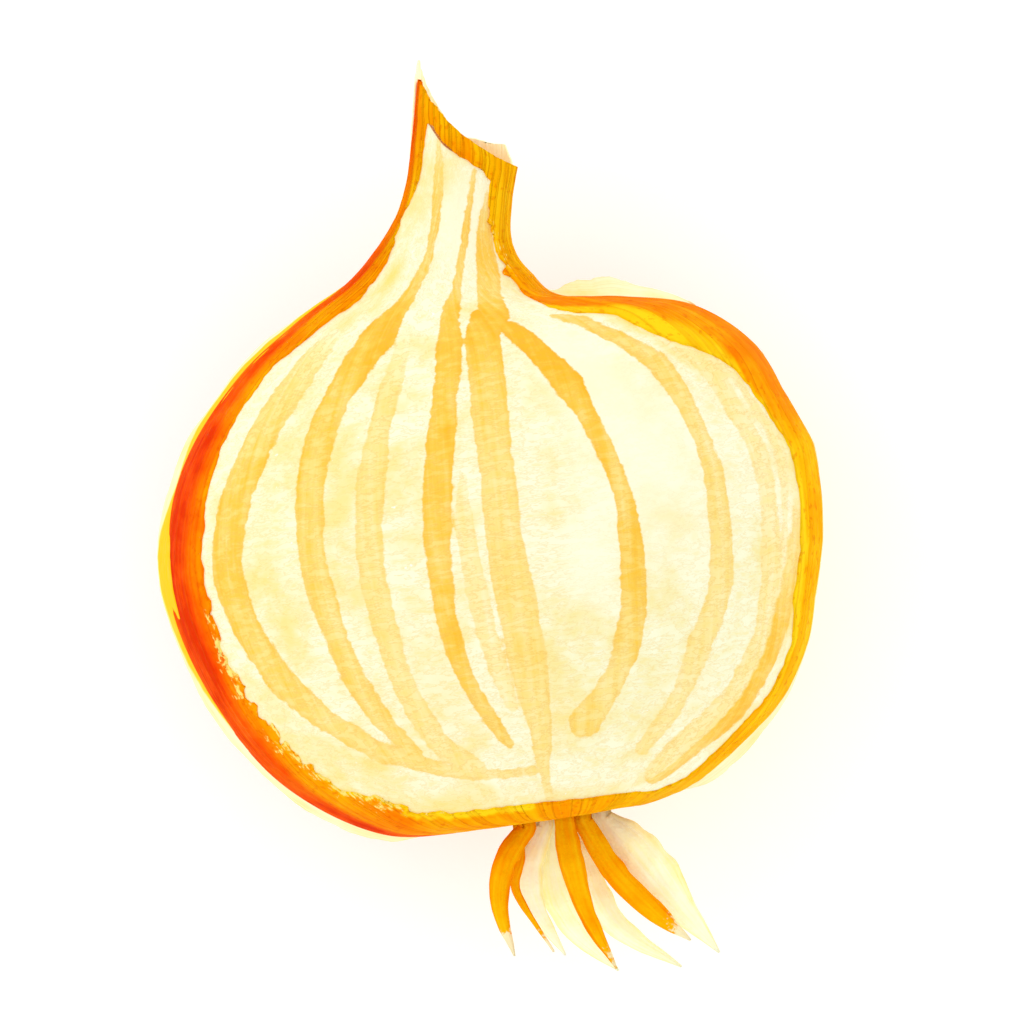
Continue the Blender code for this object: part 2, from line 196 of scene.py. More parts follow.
# How red the dry skin is down its left and its right: place along, tint from golden to red
LEFT_TINTS = (
    (1, 0.46), (2, 0.52), (2.6, 0.6), (3.4, 0.74), (4.5, 0.6), (5.5, 0.71), (6.5, 0.77), (8, 0.8),
    (9, 0.77), (9.8, 0.6), (10.5, 0.65), (11.3, 0.58), (12.4, 0.68), (13.2, 0.45), (14.3, 0.3),
    (15.3, 0.42), (16.2, 0.68), (17, 0.54),
)
RIGHT_TINTS = (
    (1, 0.24), (2.6, 0.28), (4, 0.26), (5, 0.24), (6, 0.2), (7.5, 0.22), (8.4, 0.54), (9, 0.59),
    (9.6, 0.5), (10.4, 0.58), (11.3, 0.6), (12.2, 0.48), (13, 0.32), (14, 0.2), (15.2, 0.22),
    (16.2, 0.2), (17, 0.2),
)

# Loose scraps of thin skin on the flanks. For each, down its length: place along, the turn round
# the onion to the edge that holds it and to its free edge in degrees from the top, how far the
# free edge stands off in millimetres, and how much of its width is yellow.
SCRAPS = {
    "scrap_left": (
        (2.4, -88, -89, 0.1, 0), (2.8, -86, -95, 0.7, 0), (3.4, -85, -99, 1.2, 0),
        (3.9, -84, -101, 1.4, 0), (4.5, -84, -103, 1.6, 0), (5.5, -83, -104, 1.9, 0),
        (6.2, -81, -103, 1.6, 0.3), (7, -78, -102, 1.4, 0.5), (7.7, -79, -102, 1.5, 0.45),
        (8.4, -82, -101, 1.4, 0.1), (9.2, -81, -99, 1.1, 0.45), (10, -80, -98, 1, 0.5),
        (10.8, -80, -96, 0.7, 0.7), (11.5, -84, -92, 0.3, 1), (11.9, -87, -88, 0.1, 1),
    ),
    "scrap_shoulder": (
        (10, 91, 92, 0.1, 0), (10.4, 86, 98, 1, 0), (10.8, 85, 102, 1.9, 0), (11.3, 85, 103, 2.5, 0),
        (11.8, 86, 100, 1.8, 0), (12.1, 89, 95, 0.5, 0), (12.3, 92, 93, 0.1, 0),
    ),
    "scrap_right": (
        (2.8, 90, 91, 0.1, 0), (3.4, 86, 98, 1.2, 0), (4, 85, 100, 1.4, 0), (4.7, 87, 98, 0.8, 0),
        (5.5, 87, 98, 0.6, 0), (6.6, 89, 97, 0.4, 0), (7.8, 90, 95, 0.3, 0), (8.6, 91, 94, 0.2, 0),
        (9.1, 92, 93, 0.1, 0),
    ),
}

# Dry flakes at the end of the neck: the turn round to each edge of the foot and to the point, and
# the reach of the point past the skin, in millimetres
NECK_FLAKES = {
    "neck_flake_tip": (196, 268, 250, 3.0),
    "neck_flake_corner": (116, 176, 130, 1.6),
}
FLAKE_FOOT = 1.6  # sections from the flake's foot to the neck's end

# Each root: where it leaves the plate (across, up, in shares of the plate's radius), the places
# that it passes (across from the plate's centre, down from the base), its radii from the plate to
# three quarters of the way, how far its tip drops, in millimetres, and how worn its tip is.
ROOTS = (
    ((-0.53, 0.34), ((-6.9, 4.2), (-8.3, 9.5), (-7.3, 15.5)), (1, 1.35, 1.2, 0.8), -1, 1),
    ((-0.7, -0.09), ((-5, 4), (-6, 8), (-2.6, 15.7)), (0.5, 0.55, 0.6, 0.4), -1.5, 0.84),
    ((-0.24, -0.2), ((-4, 5.2), (-4.2, 9.8), (-1.3, 16.4)), (1.1, 1.35, 1.55, 1.05), 4.5, 1),
    ((0.1, 0.4), ((0.9, 5.5), (2, 11.8), (4.5, 18.6)), (1.2, 1.45, 1.25, 0.9), -2.5, 0.86),
    ((-0.04, -0.6), ((-1.3, 6.6), (0.1, 12.6), (4.7, 19.2)), (1.1, 1.6, 2.1, 1.5), 7, 1),
    ((0.3, -0.23), ((2.7, 7), (5.3, 13.8), (12.2, 19.7)), (1.1, 1.5, 1.7, 1.15), 5, 1),
    ((0.43, 0.17), ((5.7, 7), (9.9, 12.7), (13.7, 16.6)), (1.15, 1.4, 1.4, 1), 0.5, 0.92),
    ((0.76, -0.23), ((8.9, 5.6), (12.7, 12), (16.9, 18.6)), (1.15, 2.7, 2.6, 1.5), 2.5, 1),
)
DARK_ROOTS = (1, 2, 4, 7)
ROOT_TIP_RADIUS = 0.12  # millimetres
ROOT_LEAD = 1.0 * MM  # the straight run from the plate
ROOT_FLATNESS = 0.85  # a root's thickness in shares of its width

# The camera looks straight down, and the onion leans a little to the left in its view
CAMERA_AIM = Vector((2.84 * MM, 1.2 * MM))
CAMERA_LEAN = math.radians(8)
CAMERA_FIELD = 121.9 * MM  # width seen at the height of the bulb's axis
CAMERA_LENS = 800.0
FILM_WIDTH = 36.0

# Soft light from everywhere, and a large lamp at the upper left
SKY_STRENGTH = 1.03
LAMP_POWER = 1.5
LAMP_SIZE = 0.6
LAMP_PLACE = Vector((-0.7, 0.55, 0.95))
FLOOR_HALF = 8.0


# ---- shape of the onion


def sections():
    """Every section in metres, base to neck, as rows of left x, left y, right x, right y, depth."""
    floor = PLATE_RADIUS + GAP
    mouth = floor + RECESS_LIP
    lip = RECESS_LIP / 2
    recess = [
        (PLATE_OFFSET - floor, RECESS_DEPTH, PLATE_OFFSET + floor, RECESS_DEPTH, floor),
        (PLATE_OFFSET - mouth, lip, PLATE_OFFSET + mouth, lip, mouth),
    ]
    half, height, deep = BULB_WIDTH / 2, BULB_HEIGHT, BULB_DEPTH / 2
    bulb = np.array(BULB_SECTIONS) * (half, height, half, height, deep)
    half, length, deep = NECK_WIDTH / 2, NECK_LENGTH, NECK_DEPTH / 2
    neck = np.array(NECK_SECTIONS) * (half, length, half, length, deep)
    neck[:, (1, 3)] += BULB_HEIGHT
    return np.vstack([recess, bulb, neck])


SECTIONS = sections()
NECK_END = len(SECTIONS) - 1


def home():
    """Where the middle of the bulb's base is: the root plate's own place gives it."""
    low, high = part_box("root_plate")
    seat = Vector((PLATE_OFFSET, RECESS_DEPTH - GAP - PLATE_THICKNESS / 2, 0))
    return np.array((low + high) / 2 - seat)


HOME = home()


def through(points, at):
    """A smooth curve through the points, read at places counted in points from the first: on
    each span a cubic whose slope at a point is that of the chord between its neighbours."""
    points = np.asarray(points, float)
    first, last = 2 * points[0] - points[1], 2 * points[-1] - points[-2]
    points = np.vstack([first, points, last])
    span = np.clip(np.floor(at).astype(int), 0, len(points) - 4)
    f = (at - span)[..., None]
    a, b, c, d = (points[span + k] for k in range(4))
    straight = f * (c - a) / 2
    return b + straight + f**2 * (2 * a - 5 * b + 4 * c - d) / 2 + f**3 * (3 * b - a - 3 * c + d) / 2


def spread(points, count):
    """That many places on the smooth curve through the points, evenly spread over its spans."""
    return through(points, np.linspace(0, len(points) - 1, count))


def plan(at, side):
    """The place seen from above: the section's middle, plus half its width times the side."""
    row = through(SECTIONS, at)
    left, right = row[..., 0:2], row[..., 2:4]
    return (left + right) / 2 + (right - left) / 2 * np.asarray(side)[..., None]


def unit(vectors):
    """Vectors the same way, 1 long."""
    return vectors / np.linalg.norm(vectors, axis=-1, keepdims=True)


def whole_surface(at, around):
    """The outside without its flat. A section is an ellipse: its middle, plus half its width
    times the sine of the angle round it, plus its depth times the cosine. Over the last two
    sections the front and back fall back from the sides by up to NECK_DIP."""
    row = through(SECTIONS, at)
    left, right, depth = row[..., 0:2], row[..., 2:4], row[..., 4:5]
    half = (right - left) / 2
    flat = (left + right) / 2 + half * np.sin(around)[..., None]
    back = unit(np.stack([half[..., 1], -half[..., 0]], axis=-1))
    dip = NECK_DIP * (np.clip(at - NECK_END + 2, 0, None) / 2) ** 2 * np.cos(around) ** 2
    flat = flat + back * dip[..., None]
    return np.concatenate([flat, depth * np.cos(around)[..., None]], axis=-1)


def outwards(at, around):
    """Unit vectors square to the outside, from its slopes along and round it."""
    step = 1e-3
    along = whole_surface(at + step, around) - whole_surface(at - step, around)
    across = whole_surface(at, around + step) - whole_surface(at, around - step)
    return unit(np.cross(across, along))


def surface(at, around, out=0.0):
    """The outside moved outwards by out, and by the fullness on the right flank, with its flat
    underneath moved down as much."""
    right = ease(0.55, 0.95, np.sin(around)) * ease(-0.9, -0.4, np.cos(around))
    out = np.asarray(out) + np.interp(at, *np.array(FULLNESS).T) * MM * right
    points = whole_surface(at, around) + out[..., None] * outwards(at, around)
    lowest = REST_FLAT - BULB_DEPTH / 2 - np.clip(out, None, 0)
    points[..., 2] = np.maximum(points[..., 2], lowest)
    return points


def growth(at, around):
    """Coordinates that follow the onion's growth: round a cylinder as wide as the bulb, and up
    it with the length of its axis. Fibres run along the third."""
    along = plan(at, np.zeros_like(at))[..., 1]
    wide = BULB_DEPTH / 2
    return np.stack([wide * np.sin(around), wide * np.cos(around), along], axis=-1)


def wobble(where, size, seed):
    """Smooth random values from -1 to 1: random numbers at the corners of cubes of that size,
    blended between the corners by a smooth step."""
    numbers = np.random.default_rng(seed).uniform(-1, 1, 4096)
    cell = np.floor(where / size).astype(int)
    f = where / size - cell
    f = f * f * (3 - 2 * f)
    value = 0.0
    for corner in itertools.product((0, 1), repeat=where.shape[-1]):
        key = (cell + corner) @ np.array((73856093, 19349663, 83492791))[: where.shape[-1]]
        weight = np.prod(np.where(corner, f, 1 - f), axis=-1)
        value = value + numbers[key % len(numbers)] * weight
    return value


def ease(low, high, value):
    """A smooth step: 0 below low, 1 above high."""
    share = np.clip((value - low) / (high - low), 0, 1)
    return share * share * (3 - 2 * share)


def once_round(count):
    """That many angles once round, from 0."""
    return np.arange(count) * 2 * math.pi / count


# ---- meshes


def grid_faces(rows, columns, closed=False):
    """Quads between neighbouring rows, going once round if the rows are closed."""
    row, column = np.mgrid[0 : rows - 1, 0 : columns - (0 if closed else 1)]
    beside = (column + 1) % columns
    here, ahead = row * columns, (row + 1) * columns
    corners = (here + column, here + beside, ahead + beside, ahead + column)
    return np.stack(corners, axis=-1).reshape(-1, 4)


def tube_faces(rows, columns):
    """The faces of a tube, with one over each of its ends."""
    first, last = list(range(columns)), list(range((rows - 1) * columns, rows * columns))
    return grid_faces(rows, columns, closed=True).tolist() + [first[::-1], last]


CUT_CLEARANCE = 0.02 * MM  # the least distance from a cut to the mesh's own points


def cut_along(faces, keep, *values):
    """The part of a mesh where keep is above 0. Whole quads stay; a crossed one is split in two
    triangles, and each is cut where keep, taken as straight along its edges, is 0. Gives the new
    faces, and the values carried over to their points."""
    keep = np.where(np.abs(keep) < CUT_CLEARANCE, np.copysign(CUT_CLEARANCE, keep), keep)
    inside = keep[faces] > 0
    whole = faces[inside.all(axis=1)]
    crossed = faces[inside.any(axis=1) & ~inside.all(axis=1)]
    thirds = np.vstack([crossed[:, (0, 1, 2)], crossed[:, (0, 2, 3)]])
    inside = keep[thirds] > 0
    count = inside.sum(axis=1)
    uncut = thirds[count == 3]
    thirds, inside, count = (x[(count == 1) | (count == 2)] for x in (thirds, inside, count))
    alone = np.argmax(inside == (count == 1)[:, None], axis=1)
    order = (alone[:, None] + np.arange(3)) % 3
    a, b, c = np.take_along_axis(thirds, order, axis=1).T
    ends = np.sort(np.vstack([np.column_stack([a, b]), np.column_stack([a, c])]), axis=1)
    edges, which = np.unique(ends, axis=0, return_inverse=True)
    on_b, on_c = np.split(which.ravel() + len(keep), 2)
    one, two = edges.T
    share = keep[one] / (keep[one] - keep[two])
    values = [np.concatenate([v, v[one] + (v[two] - v[one]) * share]) for v in values]
    tips, stumps = count == 1, count == 2
    small = np.vstack([uncut, np.column_stack([a, on_b, on_c])[tips]])
    large = np.vstack([whole, np.column_stack([on_b, b, c, on_c])[stumps]])
    used = np.unique(np.concatenate([small.ravel(), large.ravel()]))
    number = np.zeros(len(keep) + len(edges), int)
    number[used] = np.arange(len(used))
    faces = number[large].tolist() + number[small].tolist()
    return faces, [v[used] for v in values]


def add_object(name, data):
    """An object in the scene."""
    made = bpy.data.objects.new(name, data)
    bpy.context.scene.collection.objects.link(made)
    return made


def add_piece(name, points, faces, looks, nodes, values):
    """A piece in its place on the onion, with the values stored on its points."""
    points = points.reshape(-1, 3)
    mesh = bpy.data.meshes.new(name)
    mesh.from_pydata((points + HOME).tolist(), [], faces)
    for value_name, value in values.items():
        vector = value.size == points.size
        layer = mesh.attributes.new(value_name, "FLOAT_VECTOR" if vector else "FLOAT", "POINT")
        layer.data.foreach_set("vector" if vector else "value", value.ravel())
    mesh.shade_smooth()
    for look in looks:
        mesh.materials.append(look)
    piece = add_object(name, mesh)
    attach(piece, "root")
    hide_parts(*nodes)
    return piece


def add_wall(piece, thickness):
    """Thickness inwards from the sheet; the inner wall takes the piece's second look."""
    wall = piece.modifiers.new("thickness", "SOLIDIFY")
    wall.thickness = thickness
    wall.offset = -1
    wall.use_even_offset = False
    if len(piece.data.materials) > 1:
        wall.material_offset = 1
        wall.material_offset_rim = 0


# ---- materials


def as_light(shown):
    """A colour given by its values out of 255 on a screen, as the amounts of light that they
    mean. A socket stays as it is."""
    if not isinstance(shown, tuple):
        return shown
    shown = np.array(shown) / 255
    light = np.where(shown <= 0.04045, shown / 12.92, ((shown + 0.055) / 1.055) ** 2.4)
    return (*light.tolist(), 1.0)


def feed(tree, node, inputs):
    """The node, its inputs fed by name or number: each with a value, or with a socket to link."""
    for key, value in inputs.items():
        if isinstance(value, bpy.types.NodeSocket):
            tree.links.new(value, node.inputs[key])
        else:
            node.inputs[key].default_value = value
    return node


def add(tree, kind, inputs=None, **settings):
    """A new node with its inputs and settings."""
    node = tree.nodes.new("ShaderNode" + kind)
    for name, value in settings.items():
        setattr(node, name, value)
    return feed(tree, node, inputs or {})


def sums(tree, operation, *values, clamp=False):
    """A Math node's value."""
    inputs = dict(enumerate(values))
    return add(tree, "Math", inputs, operation=operation, use_clamp=clamp).outputs[0]


def times(tree, one, two, more=0.0):
    """The product of two values, and some more."""
    return sums(tree, "MULTIPLY_ADD", one, two, more)


def stir(tree, value, noise, amount):
    """The value plus that amount of a noise, counted from the noise's middle."""
    return times(tree, sums(tree, "SUBTRACT", noise, 0.5), amount, value)


def between(tree, value, low, high, start=0.0, end=1.0):
    """The value carried from low..high to start..end by a smooth step."""
    inputs = {"Value": value, "From Min": low, "From Max": high, "To Min": start, "To Max": end}
    node = add(tree, "MapRange", inputs, interpolation_type="SMOOTHSTEP")
    return node.outputs["Result"]


def blend(tree, share, one, two):
    """One colour turned into another by the share."""
    inputs = {0: share, 6: as_light(one), 7: as_light(two)}
    return add(tree, "Mix", inputs, data_type="RGBA").outputs[2]


def ramp(tree, share, *stops):
    """A colour for the share, from stops: each is a place and its colour's three values."""
    node = add(tree, "ValToRGB", {0: share})
    elements = node.color_ramp.elements
    while len(elements) < len(stops):
        elements.new(0.5)
    for element, (place, *shown) in zip(elements, stops):
        element.position = place
        element.color = as_light(tuple(shown))
    return node.outputs[0]


def stored(tree, name, socket="Fac"):
    """A value stored on the piece's points."""
    return add(tree, "Attribute", attribute_name=name).outputs[socket]


def new_group(name, inputs, outputs):
    """An empty node group with its sockets, its input node and its output node."""
    tree = bpy.data.node_groups.new(name, "ShaderNodeTree")
    for socket, (kind, value) in inputs.items():
        made = tree.interface.new_socket(socket, in_out="INPUT", socket_type=kind)
        if value is not None:
            made.default_value = value
    for socket, kind in outputs.items():
        tree.interface.new_socket(socket, in_out="OUTPUT", socket_type=kind)
    return tree, tree.nodes.new("NodeGroupInput").outputs, tree.nodes.new("NodeGroupOutput")


NUMBER, VECTOR = "NodeSocketFloat", "NodeSocketVector"


def fibre_group():
    """Fibres that run along the growth: noise stretched along its third coordinate, as a soft
    value, and as fine dark lines where the noise passes its middle."""
    inputs = {"Growth": (VECTOR, None), "Per Metre": (NUMBER, 600.0), "Stretch": (NUMBER, 0.05)}
    tree, given, result = new_group("fibres", inputs, {"Soft": NUMBER, "Lines": NUMBER})
    stretch = add(tree, "CombineXYZ", {"X": 1.0, "Y": 1.0, "Z": given["Stretch"]})
    factors = {0: given["Growth"], 1: stretch.outputs[0]}
    place = add(tree, "VectorMath", factors, operation="MULTIPLY").outputs[0]
    noise = {"Vector": place, "Scale": given["Per Metre"], "Detail": 3.0, "Roughness": 0.6}
    soft = add(tree, "TexNoise", noise).outputs["Fac"]
    off_middle = sums(tree, "ABSOLUTE", sums(tree, "SUBTRACT", soft, 0.5))
    lines = between(tree, off_middle, 0.0, 0.045, 1.0, 0.0)
    feed(tree, result, {"Soft": soft, "Lines": lines})
    return tree


def grain_group():
    """An uneven grain: blotches, and a finer tooth on them."""
    inputs = {"Blotches": (NUMBER, 120.0), "Tooth": (NUMBER, 900.0)}
    tree, given, result = new_group("grain", inputs, {"Blotch": NUMBER, "Tooth": NUMBER})
    place = add(tree, "TexCoord").outputs["Object"]
    large = {"Vector": place, "Scale": given["Blotches"], "Detail": 4.0, "Roughness": 0.62}
    small = {"Vector": place, "Scale": given["Tooth"], "Detail": 3.0, "Roughness": 0.6}
    blotch, tooth = (add(tree, "TexNoise", x).outputs["Fac"] for x in (large, small))
    feed(tree, result, {"Blotch": blotch, "Tooth": tooth})
    return tree


FIBRES = fibre_group()
GRAIN = grain_group()


def placed(tree, group, **inputs):
    """The outputs of a node group in a material, fed with its inputs."""
    node = add(tree, "Group", node_tree=group)
    return feed(tree, node, {name.replace("_", " "): x for name, x in inputs.items()}).outputs


def along_growth(tree, per_metre, stretch):
    """The fibres that follow the piece's own growth."""
    place = stored(tree, "growth", "Vector")
    return placed(tree, FIBRES, Growth=place, Per_Metre=per_metre, Stretch=stretch)


def finish_look(tree, base, grain, roughness, height, depth, specular, painted_glow=None):
    """Colour, a roughness that goes with the blotches from one value to another, and bump into
    the material's shader. Emission in the base colour, when given, is painted light that lifts the
    shade on a thin piece in place of the light that it lets through."""
    bump = add(tree, "Bump", {"Height": height, "Strength": 1.0, "Distance": depth})
    inputs = {
        "Base Color": base, "Roughness": between(tree, grain["Blotch"], 0.2, 0.8, *roughness),
        "Normal": bump.outputs[0], "Specular IOR Level": specular,
    }
    if painted_glow is not None:
        inputs |= {"Emission Color": base, "Emission Strength": painted_glow}
    feed(tree, tree.nodes["Principled BSDF"], inputs)


def new_look(name):
    """A new material and its tree of nodes."""
    made = bpy.data.materials.new(name)
    made.use_nodes = True
    return made, made.node_tree


def grained_look(name, blotches, tooth):
    """A new material, its tree of nodes, and its uneven grain."""
    made, tree = new_look(name)
    return made, tree, placed(tree, GRAIN, Blotches=blotches, Tooth=tooth)


def inner_skin_look():
    """Pale cream, mottled, with ochre veins whose edges are uneven and a little darker, golden
    stains and fair patches, and shrivelled brown where it has dried."""
    made, tree, grain = grained_look("inner_skin_look", 110.0, 1000.0)
    blotch, tooth = grain["Blotch"], grain["Tooth"]
    fibres = along_growth(tree, 900.0, 0.06)
    cross = along_growth(tree, 420.0, 3.2)
    strength = stored(tree, "strength")
    vein = stir(tree, stir(tree, stored(tree, "vein"), tooth, 0.7), blotch, 1.6)
    inside = between(tree, vein, -0.12, 0.14)
    rim = between(tree, vein, 0.10, 0.75, 1.0, 0.0)
    stain = stir(tree, stored(tree, "stain"), blotch, 0.5)
    pale = blend(tree, between(tree, blotch, 0.42, 0.70), (248, 248, 214), (246, 232, 160))
    pale = blend(tree, between(tree, cross["Soft"], 0.50, 0.70, 0.0, 0.55), pale, (246, 226, 148))
    pale = blend(tree, times(tree, cross["Lines"], 0.42), pale, (241, 208, 132))
    pale = blend(tree, between(tree, tooth, 0.70, 0.76), pale, (255, 254, 240))
    pale = blend(tree, between(tree, stain, -0.05, -0.8, 0.0, 0.75), pale, (252, 251, 222))
    pale = blend(tree, sums(tree, "MAXIMUM", stain, 0.0, clamp=True), pale, (252, 214, 70))
    tone = stir(tree, stir(tree, strength, blotch, 0.7), fibres["Soft"], 0.60)
    ochre = ramp(
        tree, stir(tree, tone, cross["Soft"], 0.50),
        (0.0, 250, 244, 198), (0.30, 249, 233, 163), (0.55, 248, 222, 131),
        (0.80, 248, 203, 78), (1.0, 247, 186, 42),
    )
    edge_dark = times(tree, rim, times(tree, strength, 0.30))
    ochre = blend(tree, edge_dark, ochre, (242, 168, 40))
    ochre = blend(tree, times(tree, cross["Lines"], 0.30), ochre, (236, 172, 66))
    base = blend(tree, inside, pale, ochre)
    shrivelled = ramp(
        tree, fibres["Soft"], (0.30, 158, 84, 22), (0.52, 214, 140, 50), (0.72, 240, 190, 96)
    )
    base = blend(tree, stored(tree, "dried"), base, shrivelled)
    height = times(tree, fibres["Soft"], 0.5, tooth)
    finish_look(tree, base, grain, (0.38, 0.55), height, 0.10 * MM, specular=0.06)
    return made


def dry_skin_look(name, fade):
    """Papery skin from golden to red, blotched, with darker fibres and specks, and pale spots
    where its torn edge is worn. Fade pales it, as on its inner side."""
    made, tree, grain = grained_look(name, 150.0, 1100.0)
    broad = along_growth(tree, 260.0, 0.05)
    fine = along_growth(tree, 1100.0, 0.04)
    tint = stir(tree, stored(tree, "tint"), grain["Blotch"], 0.75)
    tint = stir(tree, stir(tree, tint, broad["Soft"], 0.45), fine["Soft"], 0.30)
    base = ramp(
        tree, tint,
        (0.0, 255, 212, 24), (0.26, 254, 186, 4), (0.50, 253, 152, 0),
        (0.72, 251, 112, 0), (0.88, 247, 78, 0), (1.0, 226, 50, 0),
    )
    base = blend(tree, times(tree, broad["Lines"], 0.20), base, (214, 92, 0))
    base = blend(tree, between(tree, grain["Tooth"], 0.44, 0.34, 0.0, 0.35), base, (224, 70, 0))
    uneven = times(tree, grain["Tooth"], 0.5, times(tree, fine["Soft"], 0.5))
    worn = times(tree, stored(tree, "worn"), 0.24, uneven)
    base = blend(tree, between(tree, worn, 0.70, 0.78), base, (255, 228, 120))
    base = blend(tree, fade, base, (252, 205, 110))
    relief = sums(tree, "ADD", fine["Soft"], grain["Tooth"])
    height = times(tree, broad["Lines"], 0.8, relief)
    finish_look(tree, base, grain, (0.50, 0.72), height, 0.12 * MM, specular=0.005)
    return made


def papery_look(name, painted_glow):
    """Thin dry scraps, from pale straw to yellow with the tint, with fine fibres, and painted light
    given off that lifts their shade.
    """
    made, tree, grain = grained_look(name, 160.0, 1200.0)
    fibres = along_growth(tree, 700.0, 0.05)
    tint = stir(tree, stored(tree, "tint"), grain["Blotch"], 0.9)
    base = ramp(
        tree, stir(tree, tint, fibres["Soft"], 0.4),
        (0.0, 255, 249, 216), (0.4, 253, 238, 176), (0.75, 252, 216, 70), (1.0, 251, 200, 8),
    )
    base = blend(tree, times(tree, fibres["Lines"], 0.22), base, (244, 196, 104))
    height = sums(tree, "ADD", fibres["Soft"], grain["Tooth"])
    finish_look(tree, base, grain, (0.50, 0.70), height, 0.10 * MM, specular=0.02, painted_glow=painted_glow)
    return made


def root_look(name, *stops, fade, painted_glow):
    """Fibrous roots: streaks along them, with painted shade that makes them darker down their
    flanks, turning pale in patches past the share of their length that fade gives."""
    made, tree, grain = grained_look(name, 220.0, 1500.0)
    fibres = along_growth(tree, 1500.0, 0.06)
    tone = stir(tree, stir(tree, 0.5, grain["Blotch"], 0.9), fibres["Soft"], 0.8)
    # painted shade: on the root's left and right sides the flank value moves the ramp to its darker
    # colours
    base = ramp(tree, times(tree, stored(tree, "flank"), 0.25, tone), *stops)
    uneven = times(tree, grain["Blotch"], 0.7, times(tree, grain["Tooth"], 0.3))
    worn = sums(tree, "ADD", stored(tree, "length"), sums(tree, "SUBTRACT", uneven, 0.5 + fade))
    base = blend(tree, between(tree, worn, -0.03, 0.05), base, (254, 240, 190))
    height = times(tree, fibres["Soft"], 1.2, grain["Tooth"])
    finish_look(tree, base, grain, (0.60, 0.80), height, 0.15 * MM, specular=0.01, painted_glow=painted_glow)
    return made


def cork_look():
    """Corky brown with a dark crumbly grain."""
    made, tree, grain = grained_look("cork_look", 300.0, 1600.0)
    tone = times(tree, grain["Tooth"], 0.6, times(tree, grain["Blotch"], 0.6))
    base = ramp(tree, tone, (0.35, 170, 92, 26), (0.60, 222, 148, 56), (0.85, 246, 206, 120))
    finish_look(tree, base, grain, (0.75, 0.90), grain["Tooth"], 0.3 * MM, specular=0.15)
    return made


# ---- pieces


def nearest(places, line, *values):
    """For each place, its distance to a line of straight spans, and the values there. The nearest
    point of a span is as far along it as the place's shadow on it, and not past its ends."""
    distance = np.full(len(places), np.inf)
    found = [np.zeros(len(places)) for _ in values]
    start, span = line[:-1], np.diff(line, axis=0)
    for first in range(0, len(places), 10000):
        part = slice(first, first + 10000)
        off = places[part, None] - start
        share = np.clip((off * span).sum(axis=-1) / (span**2).sum(axis=-1), 0, 1)
        apart = np.linalg.norm(off - share[..., None] * span, axis=-1)
        which = apart.argmin(axis=1)
        row = np.arange(len(which))
        distance[part] = apart[row, which]
        for got, value in zip(found, values):
            got[part] = value[which] + share[row, which] * (value[which + 1] - value[which])
    return distance, *found


def inside_of(places, outline):
    """Whether each place is inside the closed outline: it is if a ray from it to the right
    crosses the outline an odd number of times."""
    inside = np.zeros(len(places), bool)
    x, y = places.T
    for (x0, y0), (x1, y1) in zip(outline, np.roll(outline, -1, axis=0)):
        crosses = (y0 > y) != (y1 > y)
        if y0 != y1:
            inside ^= crosses & (x < (x1 - x0) * (y - y0) / (y1 - y0) + x0)
    return inside


NO_VEIN = -9.0  # millimetres, as if far outside every vein


def vein_values(at, side):
    """How far each place is inside the edge of the nearest vein, in millimetres, and that vein's
    strength. A vein is a smooth line with a half width at each of its places."""
    places = plan(at, side)
    depth = np.full(len(places), NO_VEIN)
    strength = np.zeros(len(places))
    for vein in VEINS:
        line = spread(vein, 14 * len(vein))
        distance, half, strong = nearest(places, plan(line[:, 0], line[:, 1]), line[:, 2], line[:, 3])
        inside = half - distance / MM
        strength = np.where(inside > depth, strong, strength)
        depth = np.maximum(depth, inside)
    return depth, strength


def stain_values(at, side):
    """A faint wash down the left, and soft round patches: each is its strength times a bell of
    the distance from its middle."""
    value = 0.10 * ease(0.2, -0.9, side)
    for middle, middle_side, reach, reach_side, strength in STAINS:
        far = ((at - middle) / reach) ** 2 + ((side - middle_side) / reach_side) ** 2
        value = value + strength * np.exp(-far)
    return value


BULB_ROWS = 270
BULB_COLUMNS = 330
BULB_CROWDING = 0.42  # how much closer together the columns are on top
BULB_CLEARANCE = 0.08 * MM  # to the inside of the dry skin
BULB_END = 16.05
BULB_END_RISE = 0.35  # how much further along it ends on the left
RIDGE_RELIEF = 0.05 * MM
VEIN_RELIEF = 0.10 * MM
CAP_ROWS = 8
CAP_LENGTH = 0.7 * MM
CAP_BEND = math.radians(88)
CAP_FORWARD = np.array((-0.25, 0.97, 0.0))


def over_cap(value, cap_value=None):
    """Values of the bulb's rows, with the last row's, or one value, repeated over the cap."""
    last = value[-1:] if cap_value is None else np.full_like(value[-1:], cap_value)
    return np.concatenate([value, np.repeat(last, CAP_ROWS, axis=0)])


